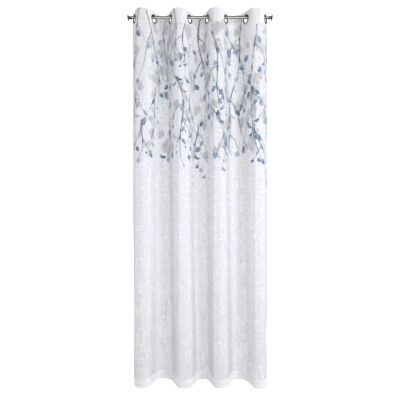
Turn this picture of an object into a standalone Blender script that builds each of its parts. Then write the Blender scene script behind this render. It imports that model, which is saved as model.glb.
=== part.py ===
"""A sheer voile eyelet curtain hanging on its curtain rod.

The origin is the middle of the rod's axis. +X runs along the rod to the right,
-Y is the room side and +Z is up. All sizes are in metres.
"""

import math

import bmesh
import bpy
from mathutils import Matrix, Vector

# Curtain panel, a standard flat size
CLOTH_WIDTH = 1.400
CLOTH_DROP = 2.500
TOP_ABOVE_ROD = 0.045
CLOTH_THICK = 0.0012
HEADING = 0.100
TAPE_THICK = 0.0010
TAPE_INSET = 0.012
GAP = 0.0003

# Eyelets, one at each of the heading's crossings
BORE_RADIUS = 0.0205
RING_RADIUS = 0.0300
BARREL_WALL = 0.0012
FLANGE_THICK = 0.0020
HOLE_EASE = 0.0007
RING_SIDES = 24
HANG_GAP = 0.0008
SQUARE = 0.032
HELD_FLAT = 0.0325

# Rod and finials
ROD_RADIUS = 0.0095
ROD_WALL = 0.0008
ROD_LEFT = -0.4650
ROD_RIGHT = 0.4560
ROD_SIDES = 40
SPIGOT_LENGTH = 0.015
FINIAL_SIDES = 36

# Where the cloth crosses the rod's line: x, how far it leans from the rod there in
# degrees, and the cloth used up to it from the left edge. Each half fold between
# two crossings is a straight flank, a round front and a straight flank again. The
# first one stands forward of the rod, the next one behind it, and so on.
HEADING_ROWS = (
    # x, lean, cloth
    (-0.4445, 65, 0.049),
    (-0.3130, 61, 0.235),
    (-0.2030, 65, 0.421),
    (-0.0740, 60, 0.607),
    (0.0430, 66, 0.793),
    (0.1700, 63, 0.979),
    (0.3030, 60, 1.165),
    (0.4345, 65, 1.351),
)
MIDDLE_ROWS = (
    (-0.4490, 72, 0.049),
    (-0.3140, 66, 0.241),
    (-0.1930, 66, 0.424),
    (-0.0640, 65, 0.612),
    (0.0570, 67, 0.796),
    (0.1830, 65, 0.983),
    (0.3130, 64, 1.169),
    (0.4410, 70, 1.354),
)
HEM_ROWS = (
    (-0.4480, 84, 0.049),
    (-0.3180, 66, 0.241),
    (-0.1770, 63, 0.434),
    (-0.0430, 66, 0.624),
    (0.0720, 68, 0.806),
    (0.1970, 66, 0.992),
    (0.3330, 63, 1.184),
    (0.4460, 80, 1.356),
)
# How far each fold's hem hangs below the first one's, from left to right.
HEM_SAG = (0.0, 0.0, 0.004, 0.008, 0.004, 0.005, 0.009)

# Heights of the three sets of rows, from the rod's axis
HEADING_FOOT = -0.085
MIDDLE_HEIGHT = -1.150
HEM_HEIGHT = TOP_ABOVE_ROD - CLOTH_DROP

COLOURS = {
    "voile": ((0.86, 0.87, 0.91, 1.0), 0.85, 0.0),
    "tape": ((0.90, 0.90, 0.93, 1.0), 0.85, 0.0),
    "satin_nickel": ((0.52, 0.50, 0.48, 1.0), 0.32, 1.0),
    "pewter": ((0.20, 0.19, 0.19, 1.0), 0.38, 1.0),
}


def half_fold(row, after, held):
    """A half fold between two crossings as (length, turn) steps.

    It is a straight flank, one round front and a straight flank, which together
    use exactly the cloth between the crossings. Where that leaves less than the
    held length straight, the flanks take that length and the front gets flatter.
    """
    lean = math.radians(row[1])
    lean_after = math.radians(after[1])
    sin, cos = math.sin(lean), math.cos(lean)
    sin_after, cos_after = math.sin(lean_after), math.cos(lean_after)
    chord = after[0] - row[0]
    cloth = after[2] - row[2]
    turn = lean + lean_after
    join = Matrix(
        (
            (cos, sin + sin_after, cos_after),
            (sin, cos_after - cos, -sin_after),
            (1.0, turn, 1.0),
        )
    )
    flank, radius, flank_after = join.inverted() @ Vector((chord, 0.0, cloth))
    bends = (radius, radius)
    front = 0.0
    if min(flank, flank_after) < held:
        flank = flank_after = held
        join = Matrix(
            (
                (sin, 1.0, sin_after),
                (1 - cos, 0.0, cos_after - 1),
                (lean, 1.0, lean_after),
            )
        )
        rest = (
            chord - held * (cos + cos_after),
            held * (sin_after - sin),
            cloth - 2 * held,
        )
        first, front, last = join.inverted() @ Vector(rest)
        bends = (first, last)
    if min(flank, flank_after, *bends) < 0 or front < 0:
        raise ValueError(f"the half fold from x = {row[0]} leans too much")
    return (
        (flank, 0.0),
        (bends[0] * lean, -lean),
        (front, 0.0),
        (bends[1] * lean_after, -lean_after),
        (flank_after, 0.0),
    )


def walk(steps, lean, distance):
    """How far (along, out) a fold has gone after this much cloth."""
    along = 0.0
    out = 0.0
    for length, turn in steps:
        part = min(distance, length)
        if turn:
            bend = length / turn
            angle = part / bend
            along += bend * (math.sin(lean + angle) - math.sin(lean))
            out -= bend * (math.cos(lean + angle) - math.cos(lean))
            lean += angle
        else:
            along += part * math.cos(lean)
            out += part * math.sin(lean)
        distance -= part
        if distance <= 0:
            break
    return along, out, lean


def section_point(rows, cloth, held):
    """(x, y, lean) of one level's section line after this much cloth."""
    first = rows[0]
    last = rows[-1]
    if cloth <= first[2] or cloth >= last[2]:
        end, side = (first, -1.0) if cloth <= first[2] else (last, 1.0)
        lean = math.radians(end[1])
        past = cloth - end[2]
        x = end[0] + past * math.cos(lean)
        return x, side * past * math.sin(lean), side * lean
    side = -1.0
    for row, after in zip(rows, rows[1:]):
        if cloth < after[2]:
            break
        side = -side
    along, out, lean = walk(half_fold(row, after, held), math.radians(row[1]), cloth - row[2])
    return row[0] + along, side * out, side * lean


def smooth(low, high, value):
    part = min(max((value - low) / (high - low), 0.0), 1.0)
    return part * part * (3 - 2 * part)


def sag_at(cloth):
    """How much lower the hem hangs at this place across the cloth."""
    pitch = (HEM_ROWS[-1][2] - HEM_ROWS[0][2]) / len(HEM_SAG)
    place = (cloth - HEM_ROWS[0][2]) / pitch - 0.5
    place = min(max(place, 0.0), len(HEM_SAG) - 1.001)
    first = int(place)
    part = smooth(0.0, 1.0, place - first)
    return HEM_SAG[first] * (1 - part) + HEM_SAG[first + 1] * part


def cloth_point(across, down, off=0.0):
    """A point of the hanging cloth: across from its left edge, down from its top
    edge and off its front face towards the back."""
    z = TOP_ABOVE_ROD - down
    upper = smooth(MIDDLE_HEIGHT, HEADING_FOOT, z)
    lower = 1 - smooth(HEM_HEIGHT, MIDDLE_HEIGHT, z)
    weights = (
        (HEADING_ROWS, upper, HELD_FLAT),
        (MIDDLE_ROWS, 1 - upper - lower, 0.0),
        (HEM_ROWS, lower, 0.0),
    )
    x = y = ahead_x = ahead_y = 0.0
    for rows, weight, held in weights:
        if weight <= 0:
            continue
        px, py, lean = section_point(rows, across, held)
        x += weight * px
        y += weight * py
        ahead_x += weight * math.cos(lean)
        ahead_y += weight * math.sin(lean)
    size = math.hypot(ahead_x, ahead_y)
    z -= sag_at(across) * lower
    return (x - off * ahead_y / size, y + off * ahead_x / size, z)


def spread(start, stop, count):
    return [start + (stop - start) * step / count for step in range(count + 1)]


def eyelet_places():
    return [row[2] for row in HEADING_ROWS]


def eyelet_drop():
    """How far below the top edge an eyelet's centre sits when it hangs on the rod."""
    return TOP_ABOVE_ROD + BORE_RADIUS - ROD_RADIUS - HANG_GAP


def across_lines(first, last):
    """The vertical mesh lines: six across each eyelet's square, the rest by fold."""
    lines = [first]
    places = eyelet_places()
    for index, place in enumerate(places):
        lines += spread(place - SQUARE, place + SQUARE, 6)
        if index + 1 < len(places):
            lines += spread(place + SQUARE, places[index + 1] - SQUARE, 7)[1:-1]
    lines.append(last)
    return lines


def sheet_mesh(name, lines, levels, off, thick, matter):
    """A hanging sheet with a round hole at every eyelet, closed at its edges."""
    mesh = bmesh.new()
    faces = []
    grid = {}
    for side in (0, 1):
        for i, across in enumerate(lines):
            for j, down in enumerate(levels):
                place = cloth_point(across, down, off + side * thick)
                grid[side, i, j] = mesh.verts.new(place)

    square_rows = levels.index(eyelet_drop() - SQUARE)
    holes = {}
    for place in eyelet_places():
        column = min(range(len(lines)), key=lambda k: abs(lines[k] - place + SQUARE))
        holes[column, square_rows] = place

    def in_hole(i, j):
        return any(c <= i < c + 6 and r <= j < r + 6 for c, r in holes)

    def quad(a, b, c, d, side):
        corners = (a, b, c, d) if side == 0 else (d, c, b, a)
        faces.append(mesh.faces.new(corners))

    for side in (0, 1):
        for i in range(len(lines) - 1):
            for j in range(len(levels) - 1):
                if in_hole(i, j):
                    continue
                quad(
                    grid[side, i, j],
                    grid[side, i, j + 1],
                    grid[side, i + 1, j + 1],
                    grid[side, i + 1, j],
                    side,
                )

    radius = BORE_RADIUS + BARREL_WALL + HOLE_EASE
    for (column, row), place in holes.items():
        rims = []
        for side in (0, 1):
            outer = [(column + k, row) for k in range(6)]
            outer += [(column + 6, row + k) for k in range(6)]
            outer += [(column + 6 - k, row + 6) for k in range(6)]
            outer += [(column, row + 6 - k) for k in range(6)]
            rim = []
            for i, j in outer:
                du = lines[i] - place
                dv = levels[j] - eyelet_drop()
                angle = math.atan2(dv, du)
                rim.append(
                    mesh.verts.new(
                        cloth_point(
                            place + radius * math.cos(angle),
                            eyelet_drop() + radius * math.sin(angle),
                            off + side * thick,
                        )
                    )
                )
            count = len(outer)
            for k in range(count):
                after = (k + 1) % count
                a = grid[side, outer[k][0], outer[k][1]]
                b = grid[side, outer[after][0], outer[after][1]]
                quad(a, rim[k], rim[after], b, side)
            rims.append(rim)
        for k in range(len(rims[0])):
            after = (k + 1) % len(rims[0])
            quad(rims[0][after], rims[0][k], rims[1][k], rims[1][after], 1)

    last_i = len(lines) - 1
    last_j = len(levels) - 1
    border = [(0, j) for j in range(last_j)]
    border += [(i, last_j) for i in range(last_i)]
    border += [(last_i, last_j - j) for j in range(last_j)]
    border += [(last_i - i, 0) for i in range(last_i)]
    for k, (i, j) in enumerate(border):
        ni, nj = border[(k + 1) % len(border)]
        quad(grid[0, i, j], grid[1, i, j], grid[1, ni, nj], grid[0, ni, nj], 0)

    # Points inside an eyelet's square carry no face.
    for vert in [vert for vert in mesh.verts if not vert.link_faces]:
        mesh.verts.remove(vert)
    bmesh.ops.recalc_face_normals(mesh, faces=mesh.faces[:])
    bmesh.ops.triangulate(mesh, faces=mesh.faces[:])
    return finish(name, mesh, matter, 50)


def turned(name, profile, sides, matter, place):
    """A ring or knob turned from its (radius, along) profile, then put in place."""
    mesh = bmesh.new()
    rings = []
    for radius, along in profile:
        if radius < 1e-9:
            rings.append([mesh.verts.new(place(0.0, 0.0, along))])
            continue
        ring = []
        for k in range(sides):
            angle = 2 * math.pi * k / sides
            spot = place(radius * math.cos(angle), radius * math.sin(angle), along)
            ring.append(mesh.verts.new(spot))
        rings.append(ring)
    closed = len(rings[0]) > 1 and len(rings[-1]) > 1
    pairs = list(zip(rings, rings[1:]))
    if closed:
        pairs.append((rings[-1], rings[0]))
    for a, b in pairs:
        for k in range(sides):
            n = (k + 1) % sides
            corners = [a[k % len(a)], a[n % len(a)], b[n % len(b)], b[k % len(b)]]
            corners = list(dict.fromkeys(corners))
            if len(corners) > 2:
                mesh.faces.new(corners)
    bmesh.ops.recalc_face_normals(mesh, faces=mesh.faces[:])
    return finish(name, mesh, matter, 35)


def finish(name, mesh, matter, smooth_angle):
    data = bpy.data.meshes.new(name)
    mesh.to_mesh(data)
    mesh.free()
    body = bpy.data.objects.new(name, data)
    bpy.context.scene.collection.objects.link(body)
    data.materials.append(material(name, matter))
    data.polygons.foreach_set("use_smooth", [True] * len(data.polygons))
    data.set_sharp_from_angle(angle=math.radians(smooth_angle))
    return body


def material(name, matter):
    colour, roughness, metallic = COLOURS[matter]
    made = bpy.data.materials.new(name)
    made.use_nodes = True
    shader = made.node_tree.nodes["Principled BSDF"]
    shader.inputs["Base Color"].default_value = colour
    shader.inputs["Roughness"].default_value = roughness
    shader.inputs["Metallic"].default_value = metallic
    made.diffuse_color = colour
    return made


def build_cloth():
    """The panel, and the heading tape behind its top edge."""
    centre = eyelet_drop()
    eyelet_levels = spread(centre - SQUARE, centre + SQUARE, 6)
    levels = [0.0, (centre - SQUARE) / 2] + eyelet_levels + [HEADING + 0.025]
    levels += spread(0.25, CLOTH_DROP, 14)
    lines = across_lines(0.0, CLOTH_WIDTH)
    sheet_mesh("curtain_panel", lines, levels, 0.0, CLOTH_THICK, "voile")
    levels = [0.002, 0.010] + eyelet_levels + [HEADING]
    lines = across_lines(TAPE_INSET, CLOTH_WIDTH - TAPE_INSET)
    sheet_mesh("heading_tape", lines, levels, CLOTH_THICK + GAP, TAPE_THICK, "tape")


def eyelet_frame(place):
    """Turns (across, down, back) at one eyelet into a point in the room."""
    centre = cloth_point(place, eyelet_drop())
    near = cloth_point(place, eyelet_drop(), 0.001)
    back = [(b - a) / 0.001 for a, b in zip(centre, near)]

    def put(across, down, off):
        return (
            centre[0] + back[1] * across + back[0] * off,
            centre[1] - back[0] * across + back[1] * off,
            centre[2] - down,
        )

    return put


def build_eyelets():
    stack = 3 * GAP + CLOTH_THICK + TAPE_THICK
    outside = BORE_RADIUS + BARREL_WALL
    back_face = stack - GAP
    front = (
        (BORE_RADIUS, -GAP - 0.6 * FLANGE_THICK),
        (BORE_RADIUS + 0.0020, -GAP - FLANGE_THICK),
        (RING_RADIUS - 0.0030, -GAP - FLANGE_THICK),
        (RING_RADIUS, -GAP - 0.4 * FLANGE_THICK),
        (RING_RADIUS, -GAP),
        (outside, -GAP),
        (outside, back_face + 0.7 * FLANGE_THICK),
        (BORE_RADIUS, back_face + 0.7 * FLANGE_THICK),
    )
    inner = outside + GAP
    back = (
        (inner, back_face),
        (RING_RADIUS, back_face),
        (RING_RADIUS, back_face + 0.4 * FLANGE_THICK),
        (RING_RADIUS - 0.0030, back_face + 0.8 * FLANGE_THICK),
        (inner, back_face + 0.8 * FLANGE_THICK),
    )
    for index, place in enumerate(eyelet_places(), 1):
        put = eyelet_frame(place)
        turned(f"eyelet_front_{index}", front, RING_SIDES, "satin_nickel", put)
        turned(f"eyelet_back_{index}", back, RING_SIDES, "satin_nickel", put)


def build_rod():
    middle = (ROD_LEFT + ROD_RIGHT) / 2

    def along_x(a, b, along):
        return (middle + along, a, b)

    half = (ROD_RIGHT - ROD_LEFT) / 2
    bore = ROD_RADIUS - ROD_WALL
    profile = (
        (ROD_RADIUS, -half),
        (ROD_RADIUS, half),
        (bore, half),
        (bore, -half),
    )
    turned("rod", profile, ROD_SIDES, "satin_nickel", along_x)


def build_finials():
    """Each finial is a spigot in the rod, a collar, a neck and a trumpet-like flare
    that ends in a shallow dome."""
    spigot = ROD_RADIUS - ROD_WALL - GAP
    profile = (
        (0.0, -SPIGOT_LENGTH),
        (spigot - 0.001, -SPIGOT_LENGTH),
        (spigot, -SPIGOT_LENGTH + 0.001),
        (spigot, GAP),
        (0.0125, GAP),
        (0.0130, 0.0010),
        (0.0130, 0.0040),
        (0.0105, 0.0055),
        (0.0090, 0.0080),
        (0.0095, 0.0120),
        (0.0120, 0.0165),
        (0.0165, 0.0200),
        (0.0205, 0.0215),
        (0.0210, 0.0230),
        (0.0205, 0.0245),
        (0.0160, 0.0262),
        (0.0085, 0.0272),
        (0.0, 0.0275),
    )

    def left(a, b, along):
        return (ROD_LEFT - along, a, b)

    def right(a, b, along):
        return (ROD_RIGHT + along, a, b)

    turned("finial_left", profile, FINIAL_SIDES, "pewter", left)
    turned("finial_right", profile, FINIAL_SIDES, "pewter", right)


def main():
    for body in list(bpy.data.objects):
        bpy.data.objects.remove(body)
    build_cloth()
    build_eyelets()
    build_rod()
    build_finials()


main()
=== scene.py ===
"""The looks of a sheer voile eyelet curtain on its rod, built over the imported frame.

+X runs along the rod to the right, -Y is the room side and +Z is up, in metres.
Places on the flat cloth are given across from its left edge and down from its top.
"""

import math
import random

import bmesh
import bpy
import numpy as np
from mathutils import Matrix, Vector
from mathutils.geometry import delaunay_2d_cdt


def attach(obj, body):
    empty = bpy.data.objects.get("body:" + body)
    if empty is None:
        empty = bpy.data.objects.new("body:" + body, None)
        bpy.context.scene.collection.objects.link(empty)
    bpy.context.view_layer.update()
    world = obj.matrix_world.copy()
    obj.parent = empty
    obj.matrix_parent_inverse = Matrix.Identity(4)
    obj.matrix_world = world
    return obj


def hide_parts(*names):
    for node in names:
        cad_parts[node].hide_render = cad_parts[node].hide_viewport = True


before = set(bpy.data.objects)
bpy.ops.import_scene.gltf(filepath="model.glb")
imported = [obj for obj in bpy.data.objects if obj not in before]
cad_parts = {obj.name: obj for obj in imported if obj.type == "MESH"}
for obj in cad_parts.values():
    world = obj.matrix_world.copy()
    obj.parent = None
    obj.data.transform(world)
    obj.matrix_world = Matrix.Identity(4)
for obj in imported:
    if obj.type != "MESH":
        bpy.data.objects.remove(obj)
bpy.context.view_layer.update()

bl_info = {
    "name": "Sheer Eyelet Curtain",
    "version": (1, 0, 0),
    "blender": (4, 5, 0),
    "location": "View3D > Sidebar > Curtain",
    "description": "Builds a printed voile eyelet curtain on its rod",
    "category": "Object",
}

# ---------------------------------------------------------------- hanging shape

CLOTH_WIDTH = 1.400
CLOTH_DROP = 2.500
TOP_ABOVE_ROD = 0.045
CLOTH_THICK = 0.0012
HEADING = 0.100
TAPE_THICK = 0.0010
TAPE_INSET = 0.012
GAP = 0.0003
BORE_RADIUS = 0.0205
RING_RADIUS = 0.0300
BARREL_WALL = 0.0012
FLANGE_THICK = 0.0020
HOLE_RADIUS = BORE_RADIUS + BARREL_WALL + 0.0007
HANG_GAP = 0.0008
HELD_FLAT = 0.0325
ROD_RADIUS = 0.0095
ROD_WALL = 0.0008
ROD_LEFT = -0.4650
ROD_RIGHT = 0.4560
EYELET_DOWN = TOP_ABOVE_ROD + BORE_RADIUS - ROD_RADIUS - HANG_GAP

# Where the cloth crosses the rod's line at three heights: x, lean from the rod in
# degrees, and the cloth used up to there.
HEADING_ROWS = (
    (-0.4445, 65, 0.049),
    (-0.3130, 61, 0.235),
    (-0.2030, 65, 0.421),
    (-0.0740, 60, 0.607),
    (0.0430, 66, 0.793),
    (0.1700, 63, 0.979),
    (0.3030, 60, 1.165),
    (0.4345, 65, 1.351),
)
MIDDLE_ROWS = (
    (-0.4490, 72, 0.049),
    (-0.3140, 66, 0.241),
    (-0.1930, 66, 0.424),
    (-0.0640, 65, 0.612),
    (0.0570, 67, 0.796),
    (0.1830, 65, 0.983),
    (0.3130, 64, 1.169),
    (0.4410, 70, 1.354),
)
HEM_ROWS = (
    (-0.4480, 84, 0.049),
    (-0.3180, 66, 0.241),
    (-0.1770, 63, 0.434),
    (-0.0430, 66, 0.624),
    (0.0720, 68, 0.806),
    (0.1970, 66, 0.992),
    (0.3330, 63, 1.184),
    (0.4460, 80, 1.356),
)
HEM_SAG = (0.0, 0.0, 0.004, 0.008, 0.004, 0.005, 0.009)
HEADING_FOOT = -0.085
MIDDLE_HEIGHT = -1.150
HEM_HEIGHT = TOP_ABOVE_ROD - CLOTH_DROP
EYELET_PLACES = tuple(row[2] for row in HEADING_ROWS)

# Soft upright creases: where each starts across and down, where it ends down, how
# far it drifts across, its half width, and how deep it dips towards the back.
UPRIGHT_CREASES = (
    # across, top, foot, drift, half width, depth
    (0.314, 0.10, 2.60, -0.002, 0.013, 0.0086),
    (0.680, 0.10, 2.60, -0.020, 0.013, 0.0094),
    (1.100, 0.10, 2.60, -0.012, 0.013, 0.0094),
    (0.512, 0.10, 2.60, -0.014, 0.013, -0.0068),
    (0.870, 0.10, 2.60, -0.026, 0.013, -0.0068),
    (1.246, 0.10, 2.60, -0.010, 0.013, -0.0068),
    (0.088, 0.10, 2.60, 0.004, 0.013, -0.0030),
    (0.150, 0.30, 2.40, -0.015, 0.020, -0.0020),
    (0.222, 0.40, 2.45, 0.010, 0.016, 0.0016),
    (0.560, 0.12, 1.50, -0.012, 0.015, 0.0016),
    (0.610, 0.60, 2.45, -0.016, 0.018, -0.0018),
    (0.770, 0.10, 1.40, -0.012, 0.016, -0.0016),
    (0.905, 0.50, 2.45, -0.016, 0.022, -0.0022),
    (0.985, 0.11, 2.30, 0.018, 0.016, 0.0018),
    (1.150, 0.20, 1.60, -0.010, 0.014, -0.0014),
    (1.285, 0.50, 2.42, -0.014, 0.020, -0.0020),
    (1.335, 0.30, 2.30, 0.008, 0.014, 0.0016),
)
# Short level creases: down, from across, to across, half width, depth.
LEVEL_CREASES = (
    (0.041, 1.215, 1.335, 0.004, 0.0013),
    (0.118, 0.640, 0.780, 0.007, -0.0012),
    (0.205, 0.070, 0.190, 0.008, 0.0010),
    (0.770, 0.440, 0.600, 0.009, 0.0009),
    (1.240, 0.820, 0.990, 0.009, 0.0010),
)
# Slow unevenness of the whole cloth: waves across, waves down, turn, height.
RIPPLES = (
    (11.0, 1.6, 0.4, 0.0009),
    (23.0, 3.1, 2.1, 0.0006),
    (37.0, 5.3, 4.4, 0.0004),
    (6.0, 9.5, 1.2, 0.0005),
)


def smooth(low, high, value):
    part = np.clip((value - low) / (high - low), 0.0, 1.0)
    return part * part * (3 - 2 * part)


def half_fold(row, after, held):
    """A half fold between two crossings as (length, turn) steps."""
    lean = math.radians(row[1])
    lean_after = math.radians(after[1])
    sin, cos = math.sin(lean), math.cos(lean)
    sin_after, cos_after = math.sin(lean_after), math.cos(lean_after)
    chord = after[0] - row[0]
    cloth = after[2] - row[2]
    join = Matrix(
        (
            (cos, sin + sin_after, cos_after),
            (sin, cos_after - cos, -sin_after),
            (1.0, lean + lean_after, 1.0),
        )
    )
    flank, radius, flank_after = join.inverted() @ Vector((chord, 0.0, cloth))
    bends = (radius, radius)
    front = 0.0
    if min(flank, flank_after) < held:
        flank = flank_after = held
        join = Matrix(
            (
                (sin, 1.0, sin_after),
                (1 - cos, 0.0, cos_after - 1),
                (lean, 1.0, lean_after),
            )
        )
        rest = (
            chord - held * (cos + cos_after),
            held * (sin_after - sin),
            cloth - 2 * held,
        )
        first, front, last = join.inverted() @ Vector(rest)
        bends = (first, last)
    return (
        (flank, 0.0),
        (bends[0] * lean, -lean),
        (front, 0.0),
        (bends[1] * lean_after, -lean_after),
        (flank_after, 0.0),
    )


def section_line(rows, held, count=1401):
    """One level's section as arrays of x, y and lean for even steps of cloth."""
    steps = [(rows[0][2], 0.0, -1.0)]
    side = -1.0
    for row, after in zip(rows, rows[1:]):
        steps += [(length, turn, side) for length, turn in half_fold(row, after, held)]
        side = -side
    steps.append((CLOTH_WIDTH - rows[-1][2], 0.0, side))
    lean = np.radians(rows[0][1]) * -1.0
    marks = [0.0]
    leans = [lean]
    for length, turn, step_side in steps:
        marks.append(marks[-1] + length)
        leans.append(leans[-1] + turn * step_side)
    cloth = np.linspace(0.0, CLOTH_WIDTH, count)
    lean = np.interp(cloth, marks, leans)
    middle = (lean[1:] + lean[:-1]) / 2
    step = cloth[1]
    x = np.concatenate(([0.0], np.cumsum(np.cos(middle)) * step))
    y = np.concatenate(([0.0], np.cumsum(np.sin(middle)) * step))
    x += rows[0][0] - np.interp(rows[0][2], cloth, x)
    y -= np.interp(rows[0][2], cloth, y)
    return cloth, x, y, lean


SECTIONS = (
    section_line(HEADING_ROWS, HELD_FLAT),
    section_line(MIDDLE_ROWS, 0.0),
    section_line(HEM_ROWS, 0.0),
)


def creases(across, down):
    """How far the soft creases and ripples move the cloth towards the back."""
    total = np.zeros_like(across)
    for start, top, foot, drift, width, depth in UPRIGHT_CREASES:
        part = np.clip((down - top) / (foot - top), 0.0, 1.0)
        window = np.sin(np.pi * part) ** 0.7
        away = (across - start - drift * part) / width
        total += depth * window * np.exp(-(away**2))
    for level, first, last, width, depth in LEVEL_CREASES:
        away = (down - level) / width
        ends = smooth(first, first + 0.02, across) * (1 - smooth(last - 0.02, last, across))
        total += depth * ends * np.exp(-(away**2))
    calm = smooth(0.10, 0.30, down)
    for waves_across, waves_down, turn, height in RIPPLES:
        swing = np.sin(waves_across * across + waves_down * down + turn)
        total += height * calm * swing * np.cos(waves_down * 1.7 * down - turn)
    for place in EYELET_PLACES:
        near = np.hypot(across - place, down - EYELET_DOWN)
        total *= smooth(RING_RADIUS, RING_RADIUS + 0.02, near)
    return total


def hang(across, down, off=0.0):
    """Points of the hanging cloth, off its front face towards the back."""
    across = np.asarray(across, float)
    down = np.asarray(down, float)
    z = TOP_ABOVE_ROD - down
    upper = smooth(MIDDLE_HEIGHT, HEADING_FOOT, z)
    lower = 1 - smooth(HEM_HEIGHT, MIDDLE_HEIGHT, z)
    weights = (upper, 1 - upper - lower, lower)
    x = np.zeros_like(across)
    y = np.zeros_like(across)
    ahead_x = np.zeros_like(across)
    ahead_y = np.zeros_like(across)
    for weight, (cloth, line_x, line_y, lean) in zip(weights, SECTIONS):
        x += weight * np.interp(across, cloth, line_x)
        y += weight * np.interp(across, cloth, line_y)
        turned = np.interp(across, cloth, lean)
        ahead_x += weight * np.cos(turned)
        ahead_y += weight * np.sin(turned)
    size = np.hypot(ahead_x, ahead_y)
    pitch = (HEM_ROWS[-1][2] - HEM_ROWS[0][2]) / len(HEM_SAG)
    folds = HEM_ROWS[0][2] + pitch * (np.arange(len(HEM_SAG)) + 0.5)
    z = z - np.interp(across, folds, HEM_SAG) * lower
    off = off + creases(across, down)
    return np.stack((x - off * ahead_y / size, y + off * ahead_x / size, z), axis=-1)


def cloth_normals(across, down):
    """The front face's direction at each point, from the hanging shape itself."""
    step = 0.0015
    right = hang(np.minimum(across + step, CLOTH_WIDTH), down)
    left = hang(np.maximum(across - step, 0.0), down)
    low = hang(across, down + step)
    high = hang(across, down - step)
    normal = np.cross(right - left, high - low)
    return normal / np.linalg.norm(normal, axis=1, keepdims=True)


# ------------------------------------------------------------------- the print

# Hanging sprays: where each starts across and down, its length, its lean from
# straight down in degrees, its sway, its thickness and how many forks it has.
SPRAYS = (
    (0.120, 0.000, 0.30, -24, 10, 1.00, 1),
    (0.165, 0.020, 0.66, 8, 16, 1.15, 3),
    (0.345, 0.030, 0.52, -10, 18, 0.85, 2),
    (0.470, 0.000, 0.44, 12, -14, 0.80, 2),
    (0.560, 0.090, 0.40, -16, 20, 0.90, 2),
    (0.720, 0.000, 0.74, -12, 22, 1.45, 3),
    (0.845, 0.150, 0.58, 22, -18, 1.60, 3),
    (0.985, 0.070, 0.62, 14, 16, 0.95, 2),
    (1.120, 0.040, 0.48, -18, 14, 0.85, 2),
    (1.255, 0.110, 0.50, 8, -18, 0.90, 2),
    (1.370, 0.060, 0.40, -8, 12, 0.80, 1),
    (0.055, 0.430, 0.44, 18, -16, 0.95, 2),
    (0.255, 0.500, 0.46, -20, 18, 1.05, 3),
    (0.470, 0.440, 0.60, 24, -24, 1.50, 4),
    (0.610, 0.560, 0.36, -22, 20, 1.10, 2),
    (0.800, 0.530, 0.40, 12, 22, 0.90, 2),
    (1.065, 0.490, 0.52, -26, 20, 1.55, 3),
    (1.200, 0.450, 0.56, 20, -16, 1.45, 3),
    (1.340, 0.560, 0.34, -10, 16, 1.00, 2),
    (0.140, 0.740, 0.25, -16, 22, 1.00, 2),
    (0.375, 0.740, 0.30, 20, -20, 1.05, 2),
    (0.690, 0.750, 0.27, 16, -26, 1.10, 2),
    (0.935, 0.770, 0.28, -18, 20, 1.00, 2),
    (1.235, 0.760, 0.30, 14, 20, 1.10, 2),
)
# Loose leaves apart from the sprays: across, down, length, angle, curl, tint.
LOOSE_LEAVES = (
    (0.030, 0.330, 0.044, 8, 20, "blue"),
    (0.095, 0.560, 0.034, -70, 15, "blue"),
    (0.060, 0.900, 0.036, -14, 60, "blue"),
    (0.310, 0.960, 0.042, 30, 110, "deep"),
    (0.405, 0.600, 0.046, -20, 80, "deep"),
    (0.520, 0.300, 0.040, 12, -30, "blue"),
    (0.580, 0.965, 0.038, 10, 10, "blue"),
    (0.655, 0.245, 0.034, 36, 20, "blue"),
    (0.705, 1.050, 0.032, 12, 26, "pale"),
    (0.745, 1.100, 0.036, -32, -84, "slate"),
    (0.790, 0.330, 0.046, 14, -16, "blue"),
    (0.870, 0.950, 0.034, -8, 20, "blue"),
    (0.905, 0.690, 0.048, -46, 90, "blue"),
    (1.010, 0.240, 0.056, 20, 10, "blue"),
    (1.030, 0.400, 0.036, -6, 20, "slate"),
    (1.135, 0.640, 0.040, 6, 70, "slate"),
    (1.180, 0.300, 0.044, -40, 20, "blue"),
    (1.290, 0.395, 0.038, -50, 30, "blue"),
    (1.330, 1.075, 0.060, 38, -80, "pale"),
    (1.375, 0.700, 0.056, 4, 14, "deep"),
    (1.375, 1.130, 0.050, 8, 26, "slate"),
    (0.225, 0.300, 0.036, -14, 24, "pale"),
)
# Scattered faint washes, and how far down they reach
WASH_COUNT = 110
WASH_FOOT = 0.88
# Larger faint washes behind the rest: across, down, length, angle, curl.
WASHES = (
    (0.200, 0.170, 0.060, 20, 10),
    (0.330, 0.220, 0.070, -12, 18),
    (0.430, 0.370, 0.055, 24, 12),
    (0.480, 0.140, 0.050, -30, 20),
    (0.570, 0.250, 0.060, 16, 22),
    (0.640, 0.420, 0.070, -18, 14),
    (0.760, 0.120, 0.052, 28, 12),
    (0.900, 0.200, 0.060, -20, 20),
    (0.960, 0.520, 0.062, 18, 16),
    (1.080, 0.190, 0.072, 10, 12),
    (1.160, 0.480, 0.068, -10, 18),
    (1.280, 0.230, 0.060, 22, 18),
    (1.350, 0.300, 0.056, -18, 12),
    (0.110, 0.480, 0.056, 16, 22),
    (0.300, 0.420, 0.064, -22, 12),
    (0.540, 0.640, 0.060, 12, 18),
    (0.700, 0.620, 0.056, -26, 16),
    (0.850, 0.600, 0.052, 22, 18),
    (1.120, 0.700, 0.066, -14, 14),
    (1.300, 0.700, 0.054, 20, 16),
    (0.200, 0.700, 0.050, 14, 14),
    (0.450, 0.880, 0.050, -18, 18),
    (0.740, 0.930, 0.062, 10, 14),
    (1.020, 0.820, 0.048, -20, 14),
)

# Leaf kinds: shortest and longest, width for their length, and how far they curl.
LEAF_KINDS = {
    # kind: shortest, longest, width for length, curl in degrees
    "bud": (0.014, 0.024, 0.50, 12),
    "oval": (0.032, 0.052, 0.66, 26),
    "long": (0.042, 0.064, 0.42, 24),
    "crescent": (0.040, 0.062, 0.34, 120),
}
OVERLAY_ORDER = {"wash": 0, "twig": 1, "pale": 2, "slate": 3, "blue": 4, "deep": 5}


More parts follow.
